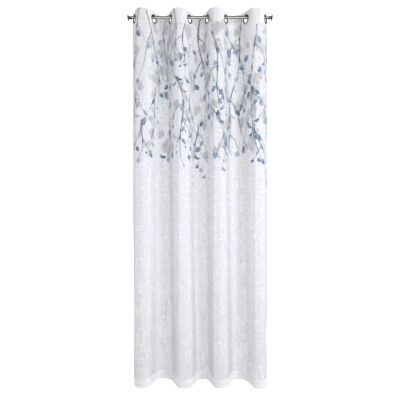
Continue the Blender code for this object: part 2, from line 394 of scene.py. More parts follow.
class Mark:
    """One printed shape on the flat cloth: its outline, and its own middle line with
    half widths, from which any point's place along and across it is read."""

    def __init__(self, tint, line, halves, strength, tone):
        self.tint = tint
        self.line = np.array(line, float)
        self.halves = np.maximum(np.array(halves, float), 1e-5)
        self.strength = strength
        self.tone = tone

    def outline(self):
        """Points round the shape, anticlockwise with across right and down negated."""
        ahead = np.gradient(self.line, axis=0)
        ahead /= np.linalg.norm(ahead, axis=1, keepdims=True)
        side = np.stack((-ahead[:, 1], ahead[:, 0]), axis=1) * self.halves[:, None]
        left = self.line + side
        right = (self.line - side)[::-1]
        points = np.concatenate((left, right))
        points[:, 1] *= -1
        keep = [0]
        for index in range(1, len(points)):
            if np.linalg.norm(points[index] - points[keep[-1]]) > 2.5e-4:
                keep.append(index)
        if np.linalg.norm(points[keep[-1]] - points[keep[0]]) < 2.5e-4:
            keep.pop()
        points = points[keep]
        x, y = points[:, 0], points[:, 1]
        area = np.sum(x * np.roll(y, -1) - np.roll(x, -1) * y)
        return points if area > 0 else points[::-1]

    def place(self, points):
        """How far along, and how near the rim from 0 to 1, each flat point is."""
        away = np.linalg.norm(points[:, None, :] - self.line[None, :, :], axis=2)
        nearest = away.argmin(axis=1)
        rim = away[np.arange(len(points)), nearest] / self.halves[nearest]
        return nearest / (len(self.line) - 1), np.clip(rim, 0.0, 1.0)


def leaf_mark(across, down, length, angle, curl, tint, plump, rng):
    """A drop-shaped leaf that starts at this point and may curl over."""
    count = 11
    heading = math.radians(angle)
    turn = math.radians(curl) / count
    line = [(across, down)]
    for _ in range(count - 1):
        step = length / (count - 1)
        x, y = line[-1]
        line.append((x + step * math.sin(heading), y + step * math.cos(heading)))
        heading += turn
    parts = np.linspace(0.0, 1.0, count)
    halves = plump * length / 2 * np.sin(np.pi * parts**0.74) ** 1.05
    halves *= 1 + 0.17 * np.sin(parts * rng.uniform(8, 13) + rng.random() * 6)
    strength = {"wash": 0.58, "pale": 0.70, "slate": 0.78, "blue": 0.95, "deep": 0.97}
    return Mark(tint, line, halves, strength[tint], rng.random())


def twig_mark(line, thick, thin, knots, rng):
    """A twig that thins towards its tip, with a small knot at each fork."""
    count = len(line)
    parts = np.linspace(0.0, 1.0, count)
    halves = thick + (thin - thick) * parts
    halves *= 1 + 0.22 * np.sin(parts * 31 + rng.random() * 6)
    for knot in knots:
        halves += 0.0030 * np.exp(-(((parts - knot) * count / 2.0) ** 2))
    return Mark("twig", line, halves, 0.92, rng.random())


def twig_line(across, down, length, lean, sway, rng):
    """A hanging twig's middle line, which sways and then turns downwards."""
    step = 0.011
    count = max(int(length / step), 5)
    phase = rng.uniform(-0.6, 0.6)
    line = [(across, down)]
    for index in range(count):
        part = index / count
        heading = lean * (1 - 0.7 * part) + sway * math.sin(part * 4.2 + phase)
        heading = math.radians(heading + rng.uniform(-5, 5))
        x, y = line[-1]
        line.append((x + step * math.sin(heading), y + step * math.cos(heading)))
    return line


def spray_marks(across, down, length, lean, sway, weight, forks, rng):
    """One spray: its main twig, forks on alternate sides, and leaves on stalks."""
    marks = []
    main = twig_line(across, down, length, lean, sway, rng)
    spots = [(index + 0.9) / (forks + 1.3) for index in range(forks)]
    marks.append(twig_mark(main, 0.0031 * weight, 0.0011, spots, rng))
    lines = [main]
    side = 1 if rng.random() < 0.5 else -1
    for spot in spots:
        x, y = main[int(spot * (len(main) - 1))]
        reach = length * (1 - spot) * rng.uniform(0.55, 0.85)
        fork_lean = side * rng.uniform(34, 58)
        fork = twig_line(x, y, reach, fork_lean, -side * rng.uniform(4, 18), rng)
        marks.append(twig_mark(fork, 0.0023 * weight, 0.0009, (), rng))
        lines.append(fork)
        side = -side
    for line in lines:
        side = 1 if rng.random() < 0.5 else -1
        index = rng.randint(4, 8)
        while index < len(line) - 1:
            if rng.random() < 1.0 - 1.5 * abs(line[index][1] - 0.56):
                marks += stalk_and_leaf(line[index], side, rng)
            side = -side
            index += rng.randint(5, 11)
        marks += stalk_and_leaf(line[-1], side, rng)
    return marks


def stalk_and_leaf(spot, side, rng):
    """A short stalk that leaves a twig and carries one leaf or bud."""
    x, y = spot
    stalk = rng.uniform(0.008, 0.020)
    angle = side * rng.uniform(14, 52)
    heading = math.radians(angle)
    steps = 4
    line = []
    for index in range(steps + 1):
        part = stalk * index / steps
        line.append((x + part * math.sin(heading), y + part * math.cos(heading)))
    tint = rng.choices(("blue", "deep", "pale", "slate"), (0.48, 0.18, 0.20, 0.14))[0]
    kind = rng.choices(("bud", "oval", "long", "crescent"), (0.26, 0.34, 0.18, 0.22))[0]
    low, high, plump, bend = LEAF_KINDS[kind]
    length = rng.uniform(low, high)
    plump *= rng.uniform(0.85, 1.15)
    curl = side * bend * rng.uniform(0.7, 1.2)
    end = line[-1]
    leaf = leaf_mark(end[0], end[1], length, angle * 0.5, curl, tint, plump, rng)
    return [Mark("twig", line, [0.0009] * (steps + 1), 0.8, rng.random()), leaf]


def print_marks():
    """Every printed shape, faint washes first and the deepest blues last."""
    rng = random.Random(41)
    marks = []
    for across, down, length, angle, curl in WASHES:
        marks.append(leaf_mark(across, down, length * 1.5, angle, curl, "wash", 0.72, rng))
    for _ in range(WASH_COUNT):
        across = rng.uniform(0.03, CLOTH_WIDTH - 0.03)
        down = WASH_FOOT * rng.random() ** 1.3
        length = rng.uniform(0.05, 0.12)
        angle = rng.uniform(-40, 40)
        plump = rng.uniform(0.35, 0.8)
        curl = rng.uniform(-50, 50)
        marks.append(leaf_mark(across, down + 0.05, length, angle, curl, "wash", plump, rng))
    for row in SPRAYS:
        marks += spray_marks(*row, rng)
    for across, down, length, angle, curl, tint in LOOSE_LEAVES:
        plump = 0.42 if abs(curl) > 40 else rng.uniform(0.6, 0.8)
        marks.append(leaf_mark(across, down, length * 1.2, angle, curl, tint, plump, rng))
    inside = []
    for mark in marks:
        x, y = mark.line[:, 0], mark.line[:, 1]
        if x.max() > 0.01 and x.min() < CLOTH_WIDTH - 0.01 and y.max() > 0.01:
            inside.append(mark)
    return sorted(inside, key=lambda mark: OVERLAY_ORDER[mark.tint])


# ------------------------------------------------------------------ mesh making

# The mesh is finer round the eyelets, down to this level.
FINE_DOWN_TO = 0.13
FINE_STEP = 0.006
HOLE_SIDES = 56
CLOTH_STEP_ACROSS = 0.0058
CLOTH_STEP_DOWN = 0.0118
# The bake sheet: the panel's share of it, its margin, and strips for the hems.
BAKED = 0.94
BAKE_MARGIN = 0.03
HEM_STRIP = 0.045
SIDE_STRIP = 0.015


def even(first, last, step):
    count = max(int(round((last - first) / step)), 1)
    return np.linspace(first, last, count + 1)


def flat_sheet(left, right, top, foot, step_across, step_down, holes, marks):
    """The flat cloth cut into triangles that follow its edges, its eyelet holes and
    the outline of every printed mark. Returns points, faces and each face's mark."""
    across = even(left, right, step_across)
    down = even(top, min(FINE_DOWN_TO, foot), FINE_STEP)
    if foot > FINE_DOWN_TO:
        down = np.concatenate((down, even(FINE_DOWN_TO, foot, step_down)[1:]))
    grid_x, grid_y = np.meshgrid(across, down)
    points = np.stack((grid_x.ravel(), -grid_y.ravel()), axis=1)
    for place in holes:
        near = np.hypot(points[:, 0] - place, points[:, 1] + EYELET_DOWN)
        points = points[near > HOLE_RADIUS + 0.0015]
    corners = np.array(((left, -top), (right, -top), (right, -foot), (left, -foot)))
    vectors = [Vector(point) for point in points]
    edges = []
    first = len(vectors)
    vectors += [Vector(corner) for corner in corners]
    edges += [(first + k, first + (k + 1) % 4) for k in range(4)]
    for place in holes:
        first = len(vectors)
        for k in range(HOLE_SIDES):
            angle = 2 * math.pi * k / HOLE_SIDES
            x = place + HOLE_RADIUS * math.cos(angle)
            vectors.append(Vector((x, HOLE_RADIUS * math.sin(angle) - EYELET_DOWN)))
        edges += [(first + k, first + (k + 1) % HOLE_SIDES) for k in range(HOLE_SIDES)]
    polygons = []
    for mark in marks:
        outline = mark.outline()
        first = len(vectors)
        vectors += [Vector(point) for point in outline]
        polygons.append(list(range(first, first + len(outline))))
    made = delaunay_2d_cdt(vectors, edges, polygons, 0, 1e-6, True)
    flat = np.array([(v.x, -v.y) for v in made[0]])
    faces = np.array(made[2])
    middle = flat[faces].mean(axis=1)
    keep = (middle[:, 0] > left) & (middle[:, 0] < right)
    keep &= (middle[:, 1] > top) & (middle[:, 1] < foot)
    for place in holes:
        keep &= np.hypot(middle[:, 0] - place, middle[:, 1] - EYELET_DOWN) > HOLE_RADIUS * 0.995
    owners = np.array([max(ids) if ids else -1 for ids in made[5]])
    faces = faces[keep]
    owners = owners[keep]
    used, back = np.unique(faces, return_inverse=True)
    return flat[used], back.reshape(-1, 3), owners


def new_mesh(name, points, faces):
    data = bpy.data.meshes.new(name)
    data.from_pydata(np.asarray(points).tolist(), [], [list(map(int, face)) for face in faces])
    data.validate()
    data.polygons.foreach_set("use_smooth", [True] * len(data.polygons))
    return data


def set_uv(data, name, corner_values):
    layer = data.uv_layers.new(name=name)
    layer.data.foreach_set("uv", np.asarray(corner_values, np.float32).ravel())


def set_corners(data, name, kind, values):
    layer = data.attributes.new(name, kind, "CORNER")
    field = "color" if kind == "FLOAT_COLOR" else "vector"
    layer.data.foreach_set(field, np.asarray(values, np.float32).ravel())


def corner_points(data, values):
    """Per-point values spread to the mesh's corners."""
    index = np.empty(len(data.loops), np.int32)
    data.loops.foreach_get("vertex_index", index)
    return np.asarray(values)[index]


def placed(name, data, matter, replaced=()):
    """Puts a mesh in the scene as a piece that rides on the curtain's one body."""
    data.materials.clear()
    data.materials.append(matter)
    piece = bpy.data.objects.new(name, data)
    bpy.context.scene.collection.objects.link(piece)
    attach(piece, "root")
    if replaced:
        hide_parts(*replaced)
    return piece


def turned_mesh(name, profile, sides, put):
    """A ring or knob turned from its (radius, along) profile and put in place."""
    mesh = bmesh.new()
    rings = []
    for radius, along in profile:
        count = 1 if radius < 1e-9 else sides
        ring = []
        for k in range(count):
            angle = 2 * math.pi * k / sides
            ring.append(
                mesh.verts.new(put(radius * math.cos(angle), radius * math.sin(angle), along))
            )
        rings.append(ring)
    pairs = list(zip(rings, rings[1:]))
    if len(rings[0]) > 1 and len(rings[-1]) > 1:
        pairs.append((rings[-1], rings[0]))
    for first, second in pairs:
        for k in range(sides):
            n = (k + 1) % sides
            corners = [
                first[k % len(first)],
                first[n % len(first)],
                second[n % len(second)],
                second[k % len(second)],
            ]
            corners = list(dict.fromkeys(corners))
            if len(corners) > 2:
                mesh.faces.new(corners)
    bmesh.ops.recalc_face_normals(mesh, faces=mesh.faces[:])
    data = bpy.data.meshes.new(name)
    mesh.to_mesh(data)
    mesh.free()
    data.polygons.foreach_set("use_smooth", [True] * len(data.polygons))
    data.set_sharp_from_angle(angle=math.radians(40))
    return data


# --------------------------------------------------------------- shader helpers


def feed(tree, socket, value):
    """Links a socket to another node's output, or sets its value."""
    if isinstance(value, bpy.types.NodeSocket):
        tree.links.new(value, socket)
    else:
        socket.default_value = value


def add(tree, kind, inputs=None, **settings):
    made = tree.nodes.new(kind)
    for name, value in settings.items():
        setattr(made, name, value)
    for name, value in (inputs or {}).items():
        feed(tree, made.inputs[name], value)
    return made


def maths(tree, operation, *values, clamp=False):
    made = add(tree, "ShaderNodeMath", operation=operation, use_clamp=clamp)
    for socket, value in zip(made.inputs, values):
        feed(tree, socket, value)
    return made.outputs[0]


def ramp(tree, value, low, high, to_low=0.0, to_high=1.0):
    span = {"Value": value, "From Min": low, "From Max": high, "To Min": to_low, "To Max": to_high}
    made = add(tree, "ShaderNodeMapRange", span, interpolation_type="SMOOTHSTEP")
    return made.outputs["Result"]


def blend(tree, factor, first, second, mode="MIX"):
    made = add(tree, "ShaderNodeMix", data_type="RGBA", blend_type=mode)
    made.clamp_factor = True
    for index, value in ((0, factor), (6, first), (7, second)):
        feed(tree, made.inputs[index], value)
    return made.outputs[2]


def stretched(tree, place, across, down):
    scaled = {"Vector": place, "Scale": (across, down, 1.0)}
    return add(tree, "ShaderNodeMapping", scaled).outputs["Vector"]


def noise(tree, place, scale=1.0, detail=2.0, rough=0.5):
    grain = {"Vector": place, "Scale": scale, "Detail": detail, "Roughness": rough}
    return add(tree, "ShaderNodeTexNoise", grain).outputs["Fac"]


def group(name, inputs, outputs):
    """An empty node group with these (name, kind, default) sockets."""
    tree = bpy.data.node_groups.new(name, "ShaderNodeTree")
    for label, kind, default in inputs:
        socket = tree.interface.new_socket(label, in_out="INPUT", socket_type=kind)
        if default is not None:
            socket.default_value = default
    for label, kind in outputs:
        tree.interface.new_socket(label, in_out="OUTPUT", socket_type=kind)
    return tree, tree.nodes.new("NodeGroupInput"), tree.nodes.new("NodeGroupOutput")


def use(tree, shared, inputs=None):
    made = tree.nodes.new("ShaderNodeGroup")
    made.node_tree = shared
    for name, value in (inputs or {}).items():
        feed(tree, made.inputs[name], value)
    return made.outputs


NUMBER = "NodeSocketFloat"
COLOUR = "NodeSocketColor"
VECTOR = "NodeSocketVector"


def yarn_group():
    """Slubby voile yarn from the flat place in metres: thick slubs along both yarns,
    slow streaks of close and open weave, and the fine weave's height."""
    name = "Slubby yarn"
    if name in bpy.data.node_groups:
        return bpy.data.node_groups[name]
    inputs = (("Place", VECTOR, None), ("Slubs", NUMBER, 1.0))
    outputs = (("Slub", NUMBER), ("Streak", NUMBER), ("Weave", NUMBER))
    tree, given, result = group(name, inputs, outputs)
    place = given.outputs["Place"]
    level = noise(tree, stretched(tree, place, 19, 560), detail=1.5)
    upright = noise(tree, stretched(tree, place, 520, 16), detail=1.5)
    level_thick = noise(tree, stretched(tree, place, 11, 230), detail=1.0)
    upright_thick = noise(tree, stretched(tree, place, 210, 9), detail=1.0)
    slub = maths(tree, "MAXIMUM", ramp(tree, level, 0.56, 0.70), ramp(tree, upright, 0.58, 0.72))
    thick = maths(
        tree,
        "MAXIMUM",
        ramp(tree, level_thick, 0.56, 0.70),
        ramp(tree, upright_thick, 0.58, 0.72, 0.0, 0.85),
    )
    slub = maths(tree, "MAXIMUM", slub, thick)
    slub = maths(tree, "MULTIPLY", slub, given.outputs["Slubs"])
    slow_level = noise(tree, stretched(tree, place, 10, 150), detail=2.0)
    slow_upright = noise(tree, stretched(tree, place, 130, 8), detail=2.0)
    streak = maths(tree, "ADD", slow_level, slow_upright)
    streak = maths(tree, "SUBTRACT", streak, 1.0)
    patch = noise(tree, stretched(tree, place, 16, 7), detail=1.0)
    patch = ramp(tree, patch, 0.36, 0.62, 0.30, 1.15)
    streak = maths(tree, "MULTIPLY", streak, patch)
    slub = maths(tree, "MULTIPLY", slub, ramp(tree, patch, 0.3, 1.15, 0.55, 1.0))
    pitch = 1100.0
    weft = maths(tree, "SINE", maths(tree, "MULTIPLY", axis(tree, place, 1), pitch * 6.28))
    warp = maths(tree, "SINE", maths(tree, "MULTIPLY", axis(tree, place, 0), pitch * 6.28))
    weave = maths(tree, "MAXIMUM", weft, warp)
    weave = maths(tree, "MULTIPLY_ADD", weave, 0.5, 0.5)
    tree.links.new(slub, result.inputs["Slub"])
    tree.links.new(streak, result.inputs["Streak"])
    tree.links.new(weave, result.inputs["Weave"])
    return tree


def axis(tree, vector, index):
    made = add(tree, "ShaderNodeSeparateXYZ", {"Vector": vector})
    return made.outputs[index]


def ink_group():
    """Watercolour ink: pools at the rim, thins in the middle and breaks on slubs."""
    name = "Watercolour ink"
    if name in bpy.data.node_groups:
        return bpy.data.node_groups[name]
    inputs = (
        ("Place", VECTOR, None),
        ("Ink", COLOUR, (0.1, 0.2, 0.5, 1.0)),
        ("Strength", NUMBER, 1.0),
        ("Along", NUMBER, 0.5),
        ("Rim", NUMBER, 0.5),
        ("Tone", NUMBER, 0.5),
        ("Slub", NUMBER, 0.0),
    )
    tree, given, result = group(name, inputs, (("Color", COLOUR), ("Cover", NUMBER)))
    place = given.outputs["Place"]
    bloom = noise(tree, place, 95.0, 3.0, 0.6)
    grain = noise(tree, place, 520.0, 2.0, 0.6)
    rim = ramp(tree, given.outputs["Rim"], 0.55, 1.0, 0.0, 0.35)
    along = ramp(tree, given.outputs["Along"], 0.0, 1.0, -0.14, 0.12)
    depth = maths(tree, "ADD", rim, along)
    depth = maths(tree, "ADD", depth, ramp(tree, bloom, 0.3, 0.7, -0.42, 0.34))
    depth = maths(tree, "ADD", depth, ramp(tree, given.outputs["Tone"], 0.0, 1.0, -0.2, 0.2))
    light = blend(tree, 0.55, given.outputs["Ink"], (0.60, 0.72, 0.84, 1.0))
    dark = blend(tree, 0.55, given.outputs["Ink"], (0.010, 0.030, 0.072, 1.0))
    colour = blend(tree, ramp(tree, depth, -0.45, 0.05), light, given.outputs["Ink"])
    colour = blend(tree, ramp(tree, depth, 0.05, 0.60), colour, dark)
    cover = ramp(tree, bloom, 0.15, 0.5, 0.72, 1.0)
    cover = maths(tree, "MULTIPLY", cover, ramp(tree, grain, 0.25, 0.6, 0.86, 1.0))
    cover = maths(tree, "MULTIPLY", cover, ramp(tree, given.outputs["Slub"], 0.0, 1.0, 1.0, 0.8))
    cover = maths(tree, "MULTIPLY", cover, given.outputs["Strength"], clamp=True)
    tree.links.new(colour, result.inputs["Color"])
    tree.links.new(cover, result.inputs["Cover"])
    return tree


def metal_group():
    """Satin-plated metal: turned brushing round the axis, small wear and smudges."""
    name = "Satin plating"
    if name in bpy.data.node_groups:
        return bpy.data.node_groups[name]
    inputs = (
        ("Place", VECTOR, None),
        ("Plating", COLOUR, (0.5, 0.5, 0.5, 1.0)),
        ("Worn", COLOUR, (0.3, 0.25, 0.2, 1.0)),
        ("Roughness", NUMBER, 0.3),
        ("Brushing", NUMBER, 1.0),
    )
    outputs = (("Color", COLOUR), ("Roughness", NUMBER), ("Height", NUMBER))
    tree, given, result = group(name, inputs, outputs)
    place = given.outputs["Place"]
    brushed = add(
        tree, "ShaderNodeMapping", {"Vector": place, "Scale": (2600.0, 260.0, 260.0)}
    ).outputs["Vector"]
    brush = noise(tree, brushed, 1.0, 3.0, 0.6)
    smudge = noise(tree, place, 46.0, 4.0, 0.6)
    speck = noise(tree, place, 900.0, 2.0, 0.5)
    worn = ramp(tree, smudge, 0.56, 0.78, 0.0, 0.5)
    worn = maths(tree, "MULTIPLY", worn, ramp(tree, speck, 0.35, 0.65))
    colour = blend(tree, worn, given.outputs["Plating"], given.outputs["Worn"])
    dull = ramp(tree, smudge, 0.3, 0.75, -0.05, 0.12)
    rough = maths(tree, "ADD", given.outputs["Roughness"], dull)
    rough = maths(tree, "ADD", rough, ramp(tree, brush, 0.3, 0.7, -0.04, 0.05), clamp=True)
    height = maths(tree, "MULTIPLY", brush, given.outputs["Brushing"])
    tree.links.new(colour, result.inputs["Color"])
    tree.links.new(rough, result.inputs["Roughness"])
    tree.links.new(height, result.inputs["Height"])
    return tree


def new_material(name):
    made = bpy.data.materials.new(name)
    made.use_nodes = True
    made.node_tree.nodes.clear()
    tree = made.node_tree
    return made, tree, tree.nodes.new("ShaderNodeOutputMaterial")


def solid(colour):
    return (colour[0], colour[1], colour[2], 1.0)


def doubled_masks(tree, place, fittings):
    """Two masks: where the cloth lies double in the bottom hem and the heading, and
    more along the hem's turned edge, and where it lies threefold in the side hems."""
    down = axis(tree, place, 1)
    across = axis(tree, place, 0)
    line = CLOTH_DROP - fittings.hem
    side = fittings.side_hem
    hem = ramp(tree, down, line - 0.0004, line + 0.0004)
    left = ramp(tree, across, side - 0.0004, side + 0.0004, 1.0, 0.0)
    right = ramp(tree, across, CLOTH_WIDTH - side - 0.0004, CLOTH_WIDTH - side + 0.0004)
    edge = ramp(tree, down, line + 0.0075, line + 0.0085, 0.7, 0.0)
    heading = ramp(tree, down, HEADING - 0.0004, HEADING + 0.0004, 1.0, 0.0)
    mask = maths(tree, "MAXIMUM", hem, heading)
    mask = maths(tree, "MULTIPLY_ADD", maths(tree, "MULTIPLY", hem, edge), 1.0, mask)
    return mask, maths(tree, "MAXIMUM", left, right)


def cloth_material(name, looks, cover, printed):
    """Sheer cloth: a reflecting and a see-through-glow part, cut by its open weave."""
    made, tree, output = new_material(name)
    place = add(tree, "ShaderNodeUVMap", uv_map="Flat").outputs["UV"]
    yarn = use(tree, yarn_group(), {"Place": place, "Slubs": looks.slubs})
    colour = blend(tree, yarn["Slub"], solid(looks.cloth), solid(looks.slub_colour))
    shade = ramp(tree, yarn["Streak"], -0.30, 0.30, 0.83, 1.10)
    grey = add(tree, "ShaderNodeCombineColor", {"Red": shade, "Green": shade, "Blue": shade})
    colour = blend(tree, 1.0, colour, grey.outputs[0], "MULTIPLY")
    # Painted shade: the voile is blended to a darker grey towards the foot, standing in for the
    # lamps' light falling off there.
    foot = ramp(tree, axis(tree, place, 1), 1.5, 2.5, 0.0, 0.5)
    colour = blend(tree, foot, colour, solid(looks.foot))
    thick, sides = doubled_masks(tree, place, fitting_looks())
    colour = blend(tree, maths(tree, "MULTIPLY", thick, 0.90), colour, solid(looks.doubled))
    # Painted shade: both side hems are darkened, standing in for the shade on the turned-back edges.
    colour = blend(tree, maths(tree, "MULTIPLY", sides, 0.60), colour, solid(looks.side_hem_shade))
    open_weave = ramp(tree, yarn["Streak"], -0.4, 0.4, -0.16, 0.12)
    alpha = maths(tree, "ADD", open_weave, cover)
    alpha = maths(tree, "ADD", alpha, maths(tree, "MULTIPLY", yarn["Slub"], 0.16))
    if printed:
        ink = add(tree, "ShaderNodeAttribute", attribute_name="ink")
        mark = add(tree, "ShaderNodeAttribute", attribute_name="mark").outputs["Vector"]
        back = add(tree, "ShaderNodeNewGeometry").outputs["Backfacing"]
        strength = maths(tree, "MULTIPLY", ink.outputs["Alpha"], ramp(tree, back, 0, 1, 1.0, 0.7))
        paint = use(
            tree,
            ink_group(),
            {
                "Place": place,
                "Ink": ink.outputs["Color"],
                "Strength": strength,
                "Along": axis(tree, mark, 0),
                "Rim": axis(tree, mark, 1),
                "Tone": axis(tree, mark, 2),
                "Slub": yarn["Slub"],
            },
        )
        colour = blend(tree, paint["Cover"], colour, paint["Color"])
        alpha = maths(tree, "ADD", alpha, maths(tree, "MULTIPLY", paint["Cover"], 0.18))
    facing = add(tree, "ShaderNodeLayerWeight", {"Blend": 0.5}).outputs["Facing"]
    gap = maths(tree, "SUBTRACT", 1.0, alpha, clamp=True)
    gap = maths(tree, "MULTIPLY", gap, ramp(tree, facing, 0.2, 0.9, 1.0, 0.15))
    alpha = maths(tree, "SUBTRACT", 1.0, gap, clamp=True)
    height = maths(tree, "MULTIPLY_ADD", yarn["Slub"], 1.4, yarn["Weave"])
    bump = add(
        tree, "ShaderNodeBump", {"Height": height, "Strength": 0.35, "Distance": 0.0004}
    ).outputs["Normal"]
    body = add(
        tree,
        "ShaderNodeBsdfPrincipled",
        {
            "Base Color": colour,
            "Roughness": 0.82,
            "Sheen Weight": 0.25,
            "Sheen Roughness": 0.45,
            "Specular IOR Level": 0.25,
            "Normal": bump,
        },
    )
    glow = add(tree, "ShaderNodeBsdfTranslucent", {"Color": colour, "Normal": bump})
    both = add(tree, "ShaderNodeMixShader")
    both.inputs[0].default_value = looks.glow
    tree.links.new(body.outputs[0], both.inputs[1])
    tree.links.new(glow.outputs[0], both.inputs[2])
    clear = add(tree, "ShaderNodeBsdfTransparent")
    sheer = add(tree, "ShaderNodeMixShader")
    tree.links.new(alpha, sheer.inputs[0])
    tree.links.new(clear.outputs[0], sheer.inputs[1])
    tree.links.new(both.outputs[0], sheer.inputs[2])
    tree.links.new(sheer.outputs[0], output.inputs["Surface"])
    return made


def metal_material(name, plating, worn, roughness, brushing):
    made, tree, output = new_material(name)
    place = add(tree, "ShaderNodeTexCoord").outputs["Object"]
    metal = use(
        tree,
        metal_group(),
        {
            "Place": place,
            "Plating": solid(plating),
            "Worn": solid(worn),
            "Roughness": roughness,
            "Brushing": brushing,
        },
    )
    bump = add(
        tree, "ShaderNodeBump", {"Height": metal["Height"], "Strength": 0.12, "Distance": 0.0002}
    ).outputs["Normal"]
    body = add(
        tree,
        "ShaderNodeBsdfPrincipled",
        {
            "Base Color": metal["Color"],
            "Metallic": 1.0,
            "Roughness": metal["Roughness"],
            "Normal": bump,
        },
    )
    tree.links.new(body.outputs[0], output.inputs["Surface"])
    return made


def thread_material(looks):
    made, tree, output = new_material("sewing_thread")
    place = add(tree, "ShaderNodeTexCoord").outputs["Object"]
    twist = noise(tree, place, 2600.0, 2.0)
    colour = blend(tree, twist, (0.70, 0.71, 0.76, 1.0), solid(looks.slub_colour))
    bump = add(tree, "ShaderNodeBump", {"Height": twist, "Strength": 0.4, "Distance": 0.0002})
    body = add(
        tree,
        "ShaderNodeBsdfPrincipled",
        {"Base Color": colour, "Roughness": 0.6, "Sheen Weight": 0.2, "Normal": bump.outputs[0]},
    )
    tree.links.new(body.outputs[0], output.inputs["Surface"])
    return made


# ------------------------------------------------------------------ properties


def tint_property(name, description, default):
    return bpy.props.FloatVectorProperty(
        name=name, description=description, subtype="COLOR", size=3, min=0, max=1, default=default
    )


def share_property(name, description, default):
    return bpy.props.FloatProperty(
        name=name, description=description, subtype="FACTOR", min=0, max=1, default=default
    )


def length_property(name, description, low, high, default):
    return bpy.props.FloatProperty(
        name=name, description=description, unit="LENGTH", min=low, max=high, default=default
    )


class ClothLooks(bpy.types.PropertyGroup):
    """The voile's colours and how sheer it is."""

    cloth: tint_property("Voile", "The plain voile", (0.755, 0.758, 0.805))
    slub_colour: tint_property("Slubs", "The thick places in the yarn", (0.87, 0.87, 0.90))
    doubled: tint_property("Doubled cloth", "The hems and the heading", (0.985, 0.975, 0.985))
    # Painted shade: this foot tint darkens the voile towards the foot where the lamps' light falls
    # off.
    foot: tint_property("Foot", "The greyer voile towards the foot", (0.62, 0.60, 0.64))
    # Painted shade: this tint darkens the rolled side hems as if seen in shadow.
    side_hem_shade: tint_property("Side hems", "The dense rolled side hems", (0.40, 0.38, 0.47))
    twig: tint_property("Twigs", "The printed twigs", (0.060, 0.110, 0.205))
    blue: tint_property("Blue leaves", "The middle blue leaves", (0.085, 0.205, 0.41))
    deep: tint_property("Deep leaves", "The darkest leaves", (0.030, 0.095, 0.215))
    pale: tint_property("Pale leaves", "The lightest blue leaves", (0.29, 0.42, 0.60))
    slate: tint_property("Slate leaves", "The grey-blue leaves", (0.15, 0.21, 0.29))
    wash: tint_property("Washes", "The faint taupe shapes behind", (0.40, 0.37, 0.37))
    cover: share_property("Cover", "How much of the voile's area is yarn", 0.86)
    heading_cover: share_property("Heading cover", "The same for the heading tape", 0.88)
    glow: share_property("Glow", "Share of light that comes through the yarn", 0.30)
    slubs: bpy.props.FloatProperty(
        name="Slub strength", description="How strongly the slubs show", min=0, max=2, default=1.0,
    )


class FittingLooks(bpy.types.PropertyGroup):
    """The metal parts' colours and small sizes."""

    nickel: tint_property("Rod", "The rod's satin nickel", (0.90, 0.87, 0.84))
    # Painted shade: the eyelets' nickel is darkened well below the rod's, standing in for the shade
    # they hang in among the folds.
    ring: tint_property("Eyelets", "The eyelets' darker nickel", (0.26, 0.24, 0.22))
    pewter: tint_property("Finials", "The finials' pewter", (0.17, 0.165, 0.16))
    # Painted reflection: the finials' nickel is darkened, standing in for dark surroundings
    # reflected in it.
    worn: tint_property("Worn places", "Where the plating is dull", (0.20, 0.15, 0.12))
    stitch_pitch: length_property("Stitch pitch", "From one stitch to the next", 0.002, 0.01, 0.0036)
    hem: length_property("Bottom hem", "The turned-up hem's depth", 0.02, 0.12, 0.060)
    side_hem: length_property("Side hem", "The side hems' width", 0.006, 0.03, 0.013)


# ------------------------------------------------------------------- operators


def cloth_looks():
    return bpy.context.scene.curtain_cloth


def fitting_looks():
    return bpy.context.scene.curtain_fittings


def strip(across, down, off):
    """A grid of cloth between these lines, as flat points, room points and faces."""
    grid_x, grid_y = np.meshgrid(across, down)
    flat = np.stack((grid_x.ravel(), grid_y.ravel()), axis=1)
    room = hang(flat[:, 0], flat[:, 1], off)
    columns = len(across)
    faces = []
    for row in range(len(down) - 1):
        for column in range(columns - 1):
            corner = row * columns + column
            faces.append((corner, corner + columns, corner + columns + 1, corner + 1))
    return flat, room, faces


